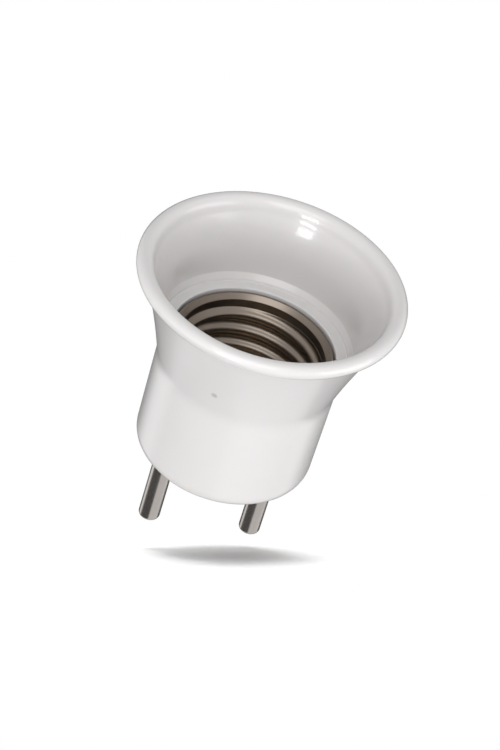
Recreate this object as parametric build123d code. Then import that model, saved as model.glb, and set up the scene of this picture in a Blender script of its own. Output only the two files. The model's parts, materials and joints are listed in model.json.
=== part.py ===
from build123d import *
import math
import os

# Plug in lamp holder. The plug face lies at z = 0 with the pins below it, and the lamp
# goes in from above along the holder's axis, which is Z. Sizes are in millimetres.

# Housing, outside
body_wall = 1.25  # at the plug end, outside the bore
plug_edge_round = 2.5
body_draft = 0.7  # degrees, the body widens towards the bell
neck_drop = 4.9  # from the seat down to the corner where the bell starts
neck_round = 4.0
bell_depth = 15.6  # from the seat up to the top of the lip
bell_bow = 0.35  # how far the bell's wall bends in from a straight cone
bell_flare = 6.6  # from the plug end's radius out to the middle of the lip
lip_thickness = 2.9
lip_root_round = 0.4

# Housing, inside
floor_thickness = 3.0
bore_clearance = 1.2  # round the metal shell's skirt
seat_height = 25.4  # the flat seat round the metal shell, seen from the bell
seat_width = 2.0
seat_wall = 0.5
funnel_foot_width = 0.7
funnel_foot_rise = 1.1
funnel_bow = 0.7
seat_edge_round = 0.25

# Plug pins
pin_spacing = 19.0
pin_radius = 2.0
pin_root_radius = 2.4  # where the pin passes through the floor
pin_length = 19.0
pin_tip_round = 0.8
pin_collar_radius = 3.2
pin_collar_thickness = 1.4
pin_thread_depth = 4.2
pin_hole_clearance = 0.05

# Lamp thread of the metal shell: rounded, one start, right hand
thread_pitch = 3.629
thread_crest_radius = 12.2
thread_depth = 1.1
thread_crest_angle = 77.0  # degrees, where a crest passes the thread_crest_height
thread_crest_height = 20.8
thread_land_angle = 12.0  # degrees of a crest's arc, each side, that its flat land takes up
thread_toe_angle = 4.0  # degrees, where a groove's outline ends inside that land
thread_backing = 1.0  # how far a groove's outline reaches back behind the crests
shell_sheet = 0.4

# Metal shell above and below its thread
shell_top_gap = 0.5  # from the shell's edge up to the level of the seat
mouth_lip_width = 0.8
mouth_lip_height = 0.9
mouth_wall_height = 1.2  # plain wall between the flared lip and the thread's end
thread_fade = 1.6
thread_lead_in = 0.25  # how far the thread's end cones start inside its crest
skirt_height = 2.0
skirt_clearance = 0.1
flange_width = 4.9
flange_bend = 0.6

# Contact carrier
carrier_clearance = 0.3
carrier_web = 2.0  # between the wiring pockets and the shell's flange
pocket_height = 3.0
pocket_side_clearance = 0.6
island_step = 1.0
island_clearance = 0.2
carrier_rim_height = 1.0
locating_clearance = 0.15

# Wiring straps, and the rivets at their ends
strap_thickness = 0.5
strap_width = 4.6
strap_riser_offset = 3.1
strap_bend = 0.5
rivet_radius = 0.9
rivet_head_radius = 1.6
rivet_head_height = 0.55
rivet_head_round = 0.35
rivet_clearance = 0.05
shell_rivet_angle = 235.0
flange_fixing_inset = 2.8  # from the skirt's inside to the fixings' middles

# Screws
strap_screw_radius = 1.25
strap_screw_head_radius = 2.3
strap_screw_head_height = 1.4
strap_screw_depth = 3.6
lock_washer_radius = 2.2
lock_washer_thickness = 0.5
lock_washer_split = 0.5
carrier_screw_radius = 1.25
carrier_screw_head_radius = 2.1
carrier_screw_head_height = 1.3
carrier_screw_tip_level = 0.9
carrier_screw_angle = 135.0
screw_clearance = 0.05
screw_hole_clearance = 0.25
screw_head_round = 0.5
cross_slot_width = 0.55
cross_slot_depth = 0.7
boss_radius = 2.8
boss_height = 2.4
boss_clearance = 0.15

# Centre contact
contact_width = 4.6
contact_thickness = 0.4
contact_rivet_inset = 2.5  # from the edge of the flange's hole to the contact's rivet
contact_root_tail = 1.7
contact_bend_offset = 2.0
contact_rise = 2.0
contact_rise_run = 2.4
contact_pad_tail = 2.2
contact_bend = 0.8
contact_corner_round = 1.0
tip_dome_radius = 1.9
tip_dome_height = 1.0
tip_dome_round = 0.8
tip_shank_radius = 0.8
tip_foot_radius = 1.3
tip_foot_height = 0.3
tip_clearance = 0.05

# Sizes and levels that follow from the shell outwards and from the stack of pieces
thread_root_radius = thread_crest_radius + thread_depth
skirt_radius = thread_root_radius + skirt_clearance
flange_hole_radius = skirt_radius - flange_width
flange_fixing_radius = skirt_radius - flange_fixing_inset
contact_root_radius = flange_hole_radius - contact_rivet_inset
bore_radius = skirt_radius + shell_sheet + bore_clearance
plug_end_radius = bore_radius + body_wall
neck_height = seat_height - neck_drop
neck_radius = plug_end_radius + neck_height * math.tan(math.radians(body_draft))
bell_height = seat_height + bell_depth
lip_ring_radius = plug_end_radius + bell_flare
lip_level = bell_height - lip_thickness / 2
seat_outer_radius = bore_radius + seat_width
pin_collar_level = floor_thickness - pin_collar_thickness
pocket_level = floor_thickness + pocket_height
flange_level = pocket_level + carrier_web
island_level = flange_level + island_step
thread_flank_angle = math.degrees(2 * math.atan(2 * thread_depth / thread_pitch))
thread_arc_radius = thread_pitch / 4 / math.sin(math.radians(thread_flank_angle))
crest_arc_centre = thread_crest_radius + thread_arc_radius
root_arc_centre = thread_root_radius - thread_arc_radius
shell_top_level = seat_height - shell_top_gap
shell_mouth_radius = skirt_radius + mouth_lip_width
skirt_level = flange_level + shell_sheet + skirt_height
contact_pad_level = island_level + contact_rise


def polar(radius, angle):
    """Point at a radius and an angle in degrees round the axis."""
    return radius * math.cos(math.radians(angle)), radius * math.sin(math.radians(angle))


line_pin_spot = (pin_spacing / 2, 0)
neutral_pin_spot = (-pin_spacing / 2, 0)
contact_rivet_spot = (0, contact_root_radius)
shell_rivet_spot = polar(flange_fixing_radius, shell_rivet_angle)
carrier_screw_spots = [
    polar(flange_fixing_radius, carrier_screw_angle),
    polar(flange_fixing_radius, carrier_screw_angle + 180),
]


def turned(profile):
    """Solid of revolution from a half section drawn as radius and height."""
    return revolve(Plane.XZ * profile, Axis.Z, 360)


def turned_outline(*points):
    """Solid of revolution whose half section has straight sides."""
    return turned(make_face(Polyline(*points, close=True)))


def post(spot, radius, low, high):
    """Upright cylinder between two levels."""
    return Pos(spot[0], spot[1], low) * Cylinder(
        radius, high - low, align=(Align.CENTER, Align.CENTER, Align.MIN)
    )


def ring_edges(solid, radius, level):
    """Circular edges of one radius at one level."""
    circles = solid.edges().filter_by(GeomType.CIRCLE)
    return [
        edge
        for edge in circles
        if abs(edge.radius - radius) < 0.01 and abs(edge.arc_center.Z - level) < 0.01
    ]


def slot_between(start, end, radius, low, high):
    """Straight slot with round ends between two spots."""
    run = math.hypot(end[0] - start[0], end[1] - start[1])
    turn = math.degrees(math.atan2(end[1] - start[1], end[0] - start[0]))
    middle = ((start[0] + end[0]) / 2, (start[1] + end[1]) / 2)
    outline = Pos(middle[0], middle[1], low) * Rot(0, 0, turn) * SlotCenterToCenter(run, 2 * radius)
    return extrude(outline, high - low)


def housing_half_section():
    """Half section of the moulding: plug end, body, bell and rolled lip."""
    foot_radius = seat_outer_radius + funnel_foot_width
    foot_level = seat_height + seat_wall + funnel_foot_rise
    lip_inner_radius = lip_ring_radius - lip_thickness / 2
    outside = (
        Polyline((0, 0), (plug_end_radius, 0), (neck_radius, neck_height))
        + SagittaArc((neck_radius, neck_height), (lip_ring_radius, lip_level), bell_bow)
        + Polyline((lip_ring_radius, lip_level), (0, lip_level), (0, 0))
    )
    inside = (
        Polyline(
            (0, floor_thickness),
            (bore_radius, floor_thickness),
            (bore_radius, seat_height),
            (seat_outer_radius, seat_height),
            (seat_outer_radius, seat_height + seat_wall),
            (foot_radius, foot_level),
        )
        + SagittaArc((foot_radius, foot_level), (lip_inner_radius, lip_level), funnel_bow)
        + Polyline((lip_inner_radius, lip_level), (0, lip_level), (0, floor_thickness))
    )
    lip = Pos(lip_ring_radius, lip_level) * Circle(lip_thickness / 2)
    return make_face(outside) - make_face(inside) + lip


def lip_root_edges(housing):
    """Corner under the lip, where the bell's outer wall runs into it."""
    circles = housing.edges().filter_by(GeomType.CIRCLE)
    lip_radius = lip_thickness / 2
    return [
        edge
        for edge in circles
        if edge.radius > lip_ring_radius - lip_radius
        and lip_level - lip_radius < edge.arc_center.Z < lip_level - lip_root_round / 2
    ]


def bell_housing():
    """One-piece white moulding that holds everything else."""
    housing = turned(housing_half_section())
    housing = fillet(ring_edges(housing, plug_end_radius, 0), plug_edge_round)
    housing = fillet(ring_edges(housing, neck_radius, neck_height), neck_round)
    housing = fillet(ring_edges(housing, bore_radius, seat_height), seat_edge_round)
    housing = fillet(lip_root_edges(housing), lip_root_round)
    for spot in carrier_screw_spots:
        housing += post(spot, boss_radius, floor_thickness, floor_thickness + boss_height)
    for spot in carrier_screw_spots:
        housing -= post(
            spot,
            carrier_screw_radius + screw_clearance,
            carrier_screw_tip_level - screw_clearance,
            flange_level,
        )
    for spot in (line_pin_spot, neutral_pin_spot):
        housing -= post(spot, pin_root_radius + pin_hole_clearance, 0, floor_thickness)
        housing -= post(
            spot, pin_collar_radius + pin_hole_clearance, pin_collar_level, floor_thickness
        )
    return housing


def plug_pin(spot):
    """Turned pin with a root and a collar that seat in the floor, and a tapped inner end."""
    shank = post(spot, pin_radius, -pin_length, 0)
    pin = fillet(ring_edges(shank, pin_radius, -pin_length), pin_tip_round)
    pin += post(spot, pin_root_radius, 0, pin_collar_level)
    pin += post(spot, pin_collar_radius, pin_collar_level, floor_thickness)
    pin -= post(
        spot, strap_screw_radius + screw_clearance, floor_thickness - pin_thread_depth, floor_thickness
    )
    return pin


def thread_groove(offset):
    """Outline of one groove in the axis's plane: a root arc between two halves of crest arcs."""
    flank = thread_flank_angle
    crest_radius = thread_arc_radius - offset
    root = CenterArc((root_arc_centre, 0), thread_arc_radius + offset, -flank, 2 * flank)
    above = CenterArc(
        (crest_arc_centre, thread_pitch / 2),
        crest_radius,
        180 + thread_toe_angle,
        flank - thread_toe_angle,
    )
    below = CenterArc(
        (crest_arc_centre, -thread_pitch / 2), crest_radius, 180 - flank, flank - thread_toe_angle
    )
    toe = above @ 0
    back = thread_crest_radius + offset - thread_backing
    behind = Polyline((toe.X, toe.Y), (back, toe.Y), (back, -toe.Y), (toe.X, -toe.Y))
    return make_face(root + above + below + behind)


def threaded_core(offset, low, high):
    """Core cylinder with the helical groove run along it, cut square at two levels."""
    turns_below = math.ceil((thread_crest_height - low) / thread_pitch + 1)
    start = thread_crest_height + thread_pitch / 2 - thread_pitch * turns_below
    rise = high + thread_pitch - start
    land_radius = crest_arc_centre - (thread_arc_radius - offset) * math.cos(
        math.radians(thread_land_angle)
    )
    helix = Helix(thread_pitch, rise, thread_crest_radius)
    groove = sweep(Plane.XZ * thread_groove(offset), path=helix, is_frenet=True)
    core = post((0, 0), land_radius, start - thread_pitch, start + rise + thread_pitch)
    core += Pos(0, 0, start) * Rot(0, 0, thread_crest_angle) * groove
    return core & post((0, 0), 2 * thread_root_radius, low, high)


def shell_form(offset, bottom_level):
    """Solid inside of the shell, or the same form grown by the sheet's thickness."""
    mouth_level = shell_top_level - mouth_lip_height
    high = mouth_level - mouth_wall_height
    thread = threaded_core(offset, skirt_level - thread_fade / 4, high)
    mouth = turned_outline(
        (0, high - thread_fade),
        (thread_crest_radius - thread_lead_in + offset, high - thread_fade),
        (skirt_radius + offset, high - thread_fade / 4),
        (skirt_radius + offset, mouth_level),
        (shell_mouth_radius + offset, shell_top_level),
        (0, shell_top_level),
    )
    skirt = turned_outline(
        (0, bottom_level),
        (skirt_radius + offset, bottom_level),
        (skirt_radius + offset, skirt_level),
        (thread_crest_radius - thread_lead_in + offset, skirt_level + thread_fade),
        (0, skirt_level + thread_fade),
    )
    return thread + mouth + skirt


def screw_shell():
    """Rolled metal shell with the lamp's thread, a flared mouth and a bottom flange."""
    outer = shell_form(shell_sheet, flange_level)
    outer = fillet(ring_edges(outer, skirt_radius + shell_sheet, flange_level), flange_bend)
    shell = outer - shell_form(0, flange_level + shell_sheet)
    top_level = flange_level + shell_sheet
    shell -= post((0, 0), flange_hole_radius, flange_level, top_level)
    shell -= post(shell_rivet_spot, rivet_radius + rivet_clearance, flange_level, top_level)
    for spot in carrier_screw_spots:
        shell -= post(spot, carrier_screw_radius + screw_hole_clearance, flange_level, top_level)
    return shell


def contact_carrier():
    """Insulating disc under the shell, with pockets for the straps below it."""
    rim_radius = bore_radius - carrier_clearance
    carrier = post((0, 0), rim_radius, floor_thickness, flange_level + carrier_rim_height)
    carrier -= post(
        (0, 0),
        skirt_radius + shell_sheet + locating_clearance,
        flange_level,
        flange_level + carrier_rim_height,
    )
    carrier += post((0, 0), flange_hole_radius - island_clearance, flange_level, island_level)
    pocket_radius = strap_width / 2 + pocket_side_clearance
    for pin_spot, rivet_spot in (
        (line_pin_spot, contact_rivet_spot),
        (neutral_pin_spot, shell_rivet_spot),
    ):
        carrier -= slot_between(pin_spot, rivet_spot, pocket_radius, floor_thickness, pocket_level)
        carrier -= post(rivet_spot, rivet_radius + rivet_clearance, floor_thickness, island_level)
    for spot in carrier_screw_spots:
        carrier -= post(
            spot,
            boss_radius + boss_clearance,
            floor_thickness,
            floor_thickness + boss_height + boss_clearance,
        )
        carrier -= post(
            spot, carrier_screw_radius + screw_hole_clearance, floor_thickness, flange_level
        )
    return carrier


def bent_strip(path, width, thickness, corners):
    """Flat strip bent along a path that starts level, trimmed to its outline from above."""
    start = Plane(origin=path @ 0, z_dir=path % 0, x_dir=(path % 0).cross(Vector(0, 0, 1)))
    return sweep(start * Rectangle(width, thickness), path=path) & corners


def strap(pin_spot, rivet_spot):
    """Brass strip that steps up from a pin's collar to the rivet at its other end."""
    run = math.hypot(rivet_spot[0] - pin_spot[0], rivet_spot[1] - pin_spot[1])
    heading = math.degrees(math.atan2(rivet_spot[1] - pin_spot[1], rivet_spot[0] - pin_spot[0]))
    low = floor_thickness + strap_thickness / 2
    high = pocket_level - strap_thickness / 2
    side_view = FilletPolyline(
        (-strap_width / 2, low),
        (strap_riser_offset, low),
        (strap_riser_offset, high),
        (run + strap_width / 2, high),
        radius=strap_bend,
    )
    path = Pos(pin_spot[0], pin_spot[1], 0) * Rot(0, 0, heading) * (Plane.XZ * side_view)
    outline = slot_between(pin_spot, rivet_spot, strap_width / 2, 0, flange_level)
    strip = bent_strip(path, strap_width, strap_thickness, outline)
    strip -= post(pin_spot, strap_screw_radius + screw_clearance, 0, flange_level)
    strip -= post(rivet_spot, rivet_radius + rivet_clearance, 0, flange_level)
    return strip


def rivet(spot, low, high):
    """Rivet that clamps everything between two levels."""
    shank = post(spot, rivet_radius, low, high)
    head = post(spot, rivet_head_radius, high, high + rivet_head_height)
    head = fillet(ring_edges(head, rivet_head_radius, high + rivet_head_height), rivet_head_round)
    foot = post(spot, rivet_head_radius, low - rivet_head_height, low)
    foot = fillet(ring_edges(foot, rivet_head_radius, low - rivet_head_height), rivet_head_round)
    return shank + head + foot


def cross_head_screw(spot, radius, head_radius, head_height, seat_level, tip_level):
    """Pan head screw with a cross recess, driven in from above."""
    top_level = seat_level + head_height
    head = post(spot, head_radius, seat_level, top_level)
    head = fillet(ring_edges(head, head_radius, top_level), screw_head_round)
    for turn in (0, 90):
        slot = Box(1.3 * head_radius, cross_slot_width, 2 * cross_slot_depth)
        head -= Pos(spot[0], spot[1], top_level) * Rot(0, 0, turn) * slot
    return head + post(spot, radius, tip_level, seat_level)


def strap_screw(spot):
    """Screw that clamps a strap and its lock washer on a pin."""
    washer_level = floor_thickness + strap_thickness
    return cross_head_screw(
        spot,
        strap_screw_radius,
        strap_screw_head_radius,
        strap_screw_head_height,
        washer_level + lock_washer_thickness,
        floor_thickness - strap_screw_depth,
    )


def carrier_screw(spot):
    """Screw that holds the shell's flange and the carrier down on a boss."""
    return cross_head_screw(
        spot,
        carrier_screw_radius,
        carrier_screw_head_radius,
        carrier_screw_head_height,
        flange_level + shell_sheet,
        carrier_screw_tip_level,
    )


def lock_washer(spot):
    """Split spring washer, pressed flat."""
    low = floor_thickness + strap_thickness
    high = low + lock_washer_thickness
    ring = post(spot, lock_washer_radius, low, high)
    ring -= post(spot, strap_screw_radius + screw_clearance, low, high)
    split = Box(2 * lock_washer_radius, lock_washer_split, 2 * lock_washer_thickness)
    return ring - Pos(spot[0] + lock_washer_radius, spot[1], low) * split


def contact_spring():
    """Spring tongue that rises from its rivet to the pad under the lamp's end contact."""
    middle = island_level + contact_thickness / 2
    root_end = contact_root_radius + contact_root_tail
    root_bend = contact_root_radius - contact_bend_offset
    side_view = FilletPolyline(
        (root_end, middle),
        (root_bend, middle),
        (root_bend - contact_rise_run, middle + contact_rise),
        (-contact_pad_tail, middle + contact_rise),
        radius=contact_bend,
    )
    outline = Pos(0, (root_end - contact_pad_tail) / 2) * RectangleRounded(
        contact_width, root_end + contact_pad_tail, contact_corner_round
    )
    tongue = bent_strip(
        Plane.YZ * side_view, contact_width, contact_thickness, extrude(outline, seat_height)
    )
    tongue -= post(contact_rivet_spot, rivet_radius + rivet_clearance, 0, seat_height)
    return tongue - post((0, 0), tip_shank_radius + tip_clearance, 0, seat_height)


def contact_tip():
    """Domed contact stud in the spring's pad, the piece that the lamp touches."""
    pad_top = contact_pad_level + contact_thickness
    dome = post((0, 0), tip_dome_radius, pad_top, pad_top + tip_dome_height)
    dome = fillet(ring_edges(dome, tip_dome_radius, pad_top + tip_dome_height), tip_dome_round)
    shank = post((0, 0), tip_shank_radius, contact_pad_level, pad_top)
    foot = post((0, 0), tip_foot_radius, contact_pad_level - tip_foot_height, contact_pad_level)
    return dome + shank + foot


pieces = {
    "bell_housing": bell_housing(),
    "screw_shell": screw_shell(),
    "contact_carrier": contact_carrier(),
    "contact_spring": contact_spring(),
    "contact_tip": contact_tip(),
    "contact_rivet": rivet(
        contact_rivet_spot, pocket_level - strap_thickness, island_level + contact_thickness
    ),
    "shell_rivet": rivet(
        shell_rivet_spot, pocket_level - strap_thickness, flange_level + shell_sheet
    ),
    "line_pin": plug_pin(line_pin_spot),
    "neutral_pin": plug_pin(neutral_pin_spot),
    "line_strap": strap(line_pin_spot, contact_rivet_spot),
    "neutral_strap": strap(neutral_pin_spot, shell_rivet_spot),
    "line_pin_screw": strap_screw(line_pin_spot),
    "neutral_pin_screw": strap_screw(neutral_pin_spot),
    "line_lock_washer": lock_washer(line_pin_spot),
    "neutral_lock_washer": lock_washer(neutral_pin_spot),
    "left_carrier_screw": carrier_screw(carrier_screw_spots[0]),
    "right_carrier_screw": carrier_screw(carrier_screw_spots[1]),
}

os.makedirs("parts", exist_ok=True)
for name, piece in pieces.items():
    export_step(piece, "parts/" + name + ".step")
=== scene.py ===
"""Looks of a white plug-in lamp holder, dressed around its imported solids.

Lengths are in metres, in the part's own frame: the plug face lies at height 0 with the pins
below it, and the lamp goes in from above along the Z axis.
"""

import json
import logging
import math
from dataclasses import dataclass
from enum import Enum
from typing import Any, Callable, Sequence, Union

import bmesh
import bpy
from mathutils import Matrix, Vector


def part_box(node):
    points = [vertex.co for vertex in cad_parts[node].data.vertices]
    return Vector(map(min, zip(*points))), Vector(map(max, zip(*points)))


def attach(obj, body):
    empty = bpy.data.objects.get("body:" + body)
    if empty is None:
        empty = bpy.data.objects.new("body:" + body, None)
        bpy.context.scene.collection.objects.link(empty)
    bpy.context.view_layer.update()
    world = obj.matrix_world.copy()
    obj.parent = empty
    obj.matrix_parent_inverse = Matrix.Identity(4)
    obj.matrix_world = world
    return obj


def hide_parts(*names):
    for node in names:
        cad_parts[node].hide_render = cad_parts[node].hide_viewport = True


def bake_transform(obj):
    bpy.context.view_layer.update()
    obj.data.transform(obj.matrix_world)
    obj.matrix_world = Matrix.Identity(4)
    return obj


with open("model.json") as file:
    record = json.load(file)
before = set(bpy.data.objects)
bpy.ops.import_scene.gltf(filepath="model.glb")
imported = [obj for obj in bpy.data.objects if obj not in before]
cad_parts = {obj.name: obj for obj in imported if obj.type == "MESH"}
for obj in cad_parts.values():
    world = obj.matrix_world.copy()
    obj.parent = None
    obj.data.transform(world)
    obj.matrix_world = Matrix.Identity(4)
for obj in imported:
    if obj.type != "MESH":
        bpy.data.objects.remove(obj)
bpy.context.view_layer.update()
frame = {"nodes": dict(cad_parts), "record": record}

log = logging.getLogger("lamp_holder")

Point = tuple[float, float]
Colour = tuple[float, float, float]
Value = Union[float, "Wire"]

HOLDER = "holder"
LAMP_CONTACT = "lamp_contact"
PAST = 0.0005  # how far a tool body reaches past what it cuts
TOOL_SEGMENTS = 64
AXIS_RADIUS = 1e-7  # a point of a section nearer the axis than this lies on it
SLACK = 1e-9  # shortest stretch that a shortened run may keep


class Slot(Enum):
    """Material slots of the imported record."""

    WHITE_PLASTIC = "white_plastic"
    NICKEL_SHELL = "nickel_shell"
    NICKEL_PIN = "nickel_pin"
    IVORY_INSULATOR = "ivory_insulator"
    SPRING_BRONZE = "spring_bronze"
    CONTACT_BRASS = "contact_brass"
    STRAP_BRASS = "strap_brass"
    ZINC_STEEL = "zinc_steel"


class Cut(Enum):
    """What a tool body does to the piece that it meets."""

    ADD = "UNION"
    REMOVE = "DIFFERENCE"


def arithmetic(operation: str, swapped: bool = False) -> Callable[["Wire", Value], "Wire"]:
    """Arithmetic method of a Wire.

    Args:
        operation: What the Math node does.
        swapped: Whether the wire is the second value.

    Returns:
        The method, which adds the node.
    """

    def method(self: "Wire", other: Value) -> "Wire":
        """Add the node on the wire and another value."""
        return self.bench.math(operation, *((other, self) if swapped else (self, other)))

    return method


class Wire:
    """An output socket whose arithmetic adds Math nodes to its tree."""

    def __init__(self, bench: "Bench", socket: bpy.types.NodeSocket) -> None:
        """Keep the socket and the bench that adds nodes to its tree."""
        self.bench = bench
        self.socket = socket

    __add__ = arithmetic("ADD")
    __radd__ = arithmetic("ADD", swapped=True)
    __sub__ = arithmetic("SUBTRACT")
    __rsub__ = arithmetic("SUBTRACT", swapped=True)
    __mul__ = arithmetic("MULTIPLY")
    __truediv__ = arithmetic("DIVIDE")


class Bench:
    """A node tree that is being wired, for a material or for geometry."""

    def __init__(self, tree: bpy.types.NodeTree) -> None:
        """Start on a tree with no nodes."""
        self.tree = tree
        tree.nodes.clear()

    def node(
        self,
        kind: str,
        settings: dict[str, Any] | None = None,
        sockets: dict[str | int, Any] | None = None,
    ) -> bpy.types.Node:
        """Add a node, set it up, then feed its sockets.

        Args:
            kind: Blender's name of the node type.
            settings: Properties set before the sockets; "stops" fills a colour ramp.
            sockets: A value or a Wire for each input, by name or number.

        Returns:
            The new node.
        """
        made = self.tree.nodes.new(kind)
        for name, value in (settings or {}).items():
            if name == "stops":
                self._fill_ramp(made.color_ramp, value)
            else:
                setattr(made, name, value)
        for key, value in (sockets or {}).items():
            if isinstance(value, Wire):
                self.tree.links.new(value.socket, made.inputs[key])
            else:
                made.inputs[key].default_value = value
        return made

    def wire(
        self,
        kind: str,
        settings: dict[str, Any] | None = None,
        sockets: dict[str | int, Any] | None = None,
        output: str | int = 0,
    ) -> Wire:
        """Add a node as node() does and return one of its outputs.

        Args:
            kind: Blender's name of the node type.
            settings: Properties of the node.
            sockets: Values or wires of its inputs.
            output: Name or number of the output that is wanted.

        Returns:
            That output as a Wire.
        """
        return Wire(self, self.node(kind, settings, sockets).outputs[output])

    def math(self, operation: str, *values: Value) -> Wire:
        """Add a Math node on up to three values."""
        return self.wire("ShaderNodeMath", {"operation": operation}, dict(enumerate(values)))

    def vector(self, x: Value, y: Value, z: Value) -> Wire:
        """Join three values into a vector."""
        return self.wire("ShaderNodeCombineXYZ", {}, {"X": x, "Y": y, "Z": z})

    def split(self, vector: Wire) -> tuple[Wire, ...]:
        """The three parts of a vector."""
        parts = self.node("ShaderNodeSeparateXYZ", {}, {"Vector": vector})
        return tuple(Wire(self, parts.outputs[axis]) for axis in "XYZ")

    def noise(self, place: Wire, scale: float, detail: float, roughness: float = 0.5) -> Wire:
        """Noise around one half at a place, with a scale in features a metre."""
        sockets = {"Vector": place, "Scale": scale, "Detail": detail, "Roughness": roughness}
        return self.wire("ShaderNodeTexNoise", {"noise_dimensions": "3D"}, sockets, "Fac")

    def blend(self, share: Value, first: Any, second: Any) -> Wire:
        """Mix two colours by a share from 0 to 1."""
        sockets = {"Factor": share, 6: first, 7: second}
        return self.wire("ShaderNodeMix", {"data_type": "RGBA"}, sockets, 2)

    def surface(self, shown: Wire, cover: Wire | None = None) -> None:
        """Put a shader out.

        Args:
            shown: The shader.
            cover: How much of it shows, from 0 for clear to 1, or None for all of it.
        """
        if cover is not None:
            clear = self.wire("ShaderNodeBsdfTransparent")
            shown = self.wire("ShaderNodeMixShader", {}, {0: cover, 1: clear, 2: shown})
        self.node("ShaderNodeOutputMaterial", {}, {"Surface": shown})

    @staticmethod
    def _fill_ramp(ramp: bpy.types.ColorRamp, stops: Sequence[Point]) -> None:
        """Give a ramp grey stops.

        Args:
            ramp: The ramp.
            stops: Position and level of each.
        """
        for number, (position, level) in enumerate(stops):
            stop = ramp.elements[number] if number < 2 else ramp.elements.new(position)
            stop.position = position
            stop.color = (level, level, level, 1.0)


def opaque(colour: Colour) -> tuple[float, float, float, float]:
    """Colour with full alpha, as colour sockets take it."""
    return (*colour, 1.0)


def shaded(colour: Colour, share: float) -> tuple[float, float, float, float]:
    """Opaque colour with each channel times a share."""
    return opaque((colour[0] * share, colour[1] * share, colour[2] * share))


def new_material(name: str) -> tuple[bpy.types.Material, Bench]:
    """Make a material with no nodes yet.

    Args:
        name: Name of the material.

    Returns:
        The material, and the bench of its nodes.
    """
    material = bpy.data.materials.new(name)
    material.use_nodes = True
    return material, Bench(material.node_tree)


@dataclass(frozen=True)
class Finish:
    """A surface finish: its plain numbers, and a pattern that each kind adds."""

    name: str
    colour: Colour
    roughness: float
    metallic: float = 0.0
    coat: float = 0.0
    coat_roughness: float = 0.03
    subsurface: float = 0.0
    scatter: tuple[float, float, float] = (0.0012, 0.001, 0.0009)

    def build(self) -> bpy.types.Material:
        """Make the material with its shader and its pattern.

        Returns:
            The material.
        """
        material, bench = new_material(self.name)
        shader = bench.node(
            "ShaderNodeBsdfPrincipled",
            {},
            {
                "Base Color": opaque(self.colour),
                "Roughness": self.roughness,
                "Metallic": self.metallic,
                "Coat Weight": self.coat,
                "Coat Roughness": self.coat_roughness,
                "Subsurface Weight": self.subsurface,
                "Subsurface Radius": self.scatter,
                "Subsurface Scale": 1.0,
            },
        )
        self.pattern(bench, shader)
        bench.surface(Wire(bench, shader.outputs[0]))
        return material

    def pattern(self, bench: Bench, shader: bpy.types.Node) -> None:
        """Add what varies over the surface.

        Args:
            bench: The material's nodes.
            shader: The shader whose sockets the pattern feeds.
        """
        raise NotImplementedError

    @staticmethod
    def feed(bench: Bench, shader: bpy.types.Node, colour: Wire, roughness: Wire, relief: Wire) -> None:
        """Link what varies to the shader."""
        for name, wire in (("Base Color", colour), ("Roughness", roughness), ("Normal", relief)):
            bench.tree.links.new(wire.socket, shader.inputs[name])

    def tint(self, bench: Bench, share: Wire, shade: float) -> Wire:
        """The colour, darker by a shade as the share rises from 0 to 1."""
        return bench.blend(share, opaque(self.colour), shaded(self.colour, shade))

    def uneven(self, varied: Wire, swing: float) -> Wire:
        """Plain roughness, with a varied part of 0 to a swing added and half that swing taken off."""
        return varied + (self.roughness - swing / 2)

    @staticmethod
    def relief(bench: Bench, height: Wire, depth: float) -> Wire:
        """Bump from a height between 0 and 1 that stands for a depth in metres."""
        return bench.wire("ShaderNodeBump", {}, {"Strength": 1.0, "Distance": depth, "Height": height})

    @staticmethod
    def place(bench: Bench) -> Wire:
        """Place on the object, in metres."""
        return bench.wire("ShaderNodeTexCoord", output="Object")


@dataclass(frozen=True)
class GlossMoulding(Finish):
    """Glossy moulded plastic: a faint cloud, slight ripples and a skin as from a polished mould."""

    cloud_scale: float = 70.0
    cloud_share: float = 0.975
    patch_scale: float = 189.0
    gloss_swing: float = 0.08
    ripple_scale: float = 420.0
    ripple_depth: float = 4e-6
    skin_scale: float = 5200.0
    skin_depth: float = 0.5e-6
    speck: tuple[float, float, float] = (-0.0080, -0.0163, 0.0259)
    speck_radius: float = 0.00072
    speck_edge: float = 2.5
    speck_share: float = 0.72

    def pattern(self, bench: Bench, shader: bpy.types.Node) -> None:
        """Vary the colour a little, the gloss a little more, ripple the surface and add one grey speck.

        Args:
            bench: The material's nodes.
            shader: The shader whose sockets the pattern feeds.
        """
        place = self.place(bench)
        cloud = bench.noise(place, self.cloud_scale, 3.0)
        patch = bench.noise(place, self.patch_scale, 2.0)
        ripple = bench.noise(place, self.ripple_scale, 1.0)
        skin = bench.noise(place, self.skin_scale, 2.0, 0.6)
        height = ripple + skin * (self.skin_depth / self.ripple_depth)
        plain = self.tint(bench, cloud, self.cloud_share)
        colour = bench.blend(self.mark(bench, place), plain, shaded(self.colour, self.speck_share))
        roughness = self.uneven(patch * self.gloss_swing, self.gloss_swing)
        self.feed(bench, shader, colour, roughness, self.relief(bench, height, self.ripple_depth))

    def mark(self, bench: Bench, place: Wire) -> Wire:
        """Work out how much of the speck shows.

        Args:
            bench: The material's nodes.
            place: Place on the object.

        Returns:
            A share from 0 to 1.
        """
        sockets = {0: place, 1: self.speck}
        apart = bench.wire("ShaderNodeVectorMath", {"operation": "DISTANCE"}, sockets, "Value")
        inside = bench.math("MAXIMUM", 1 - apart / self.speck_radius, 0.0)
        return bench.math("MINIMUM", inside * self.speck_edge, 1.0)


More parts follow.
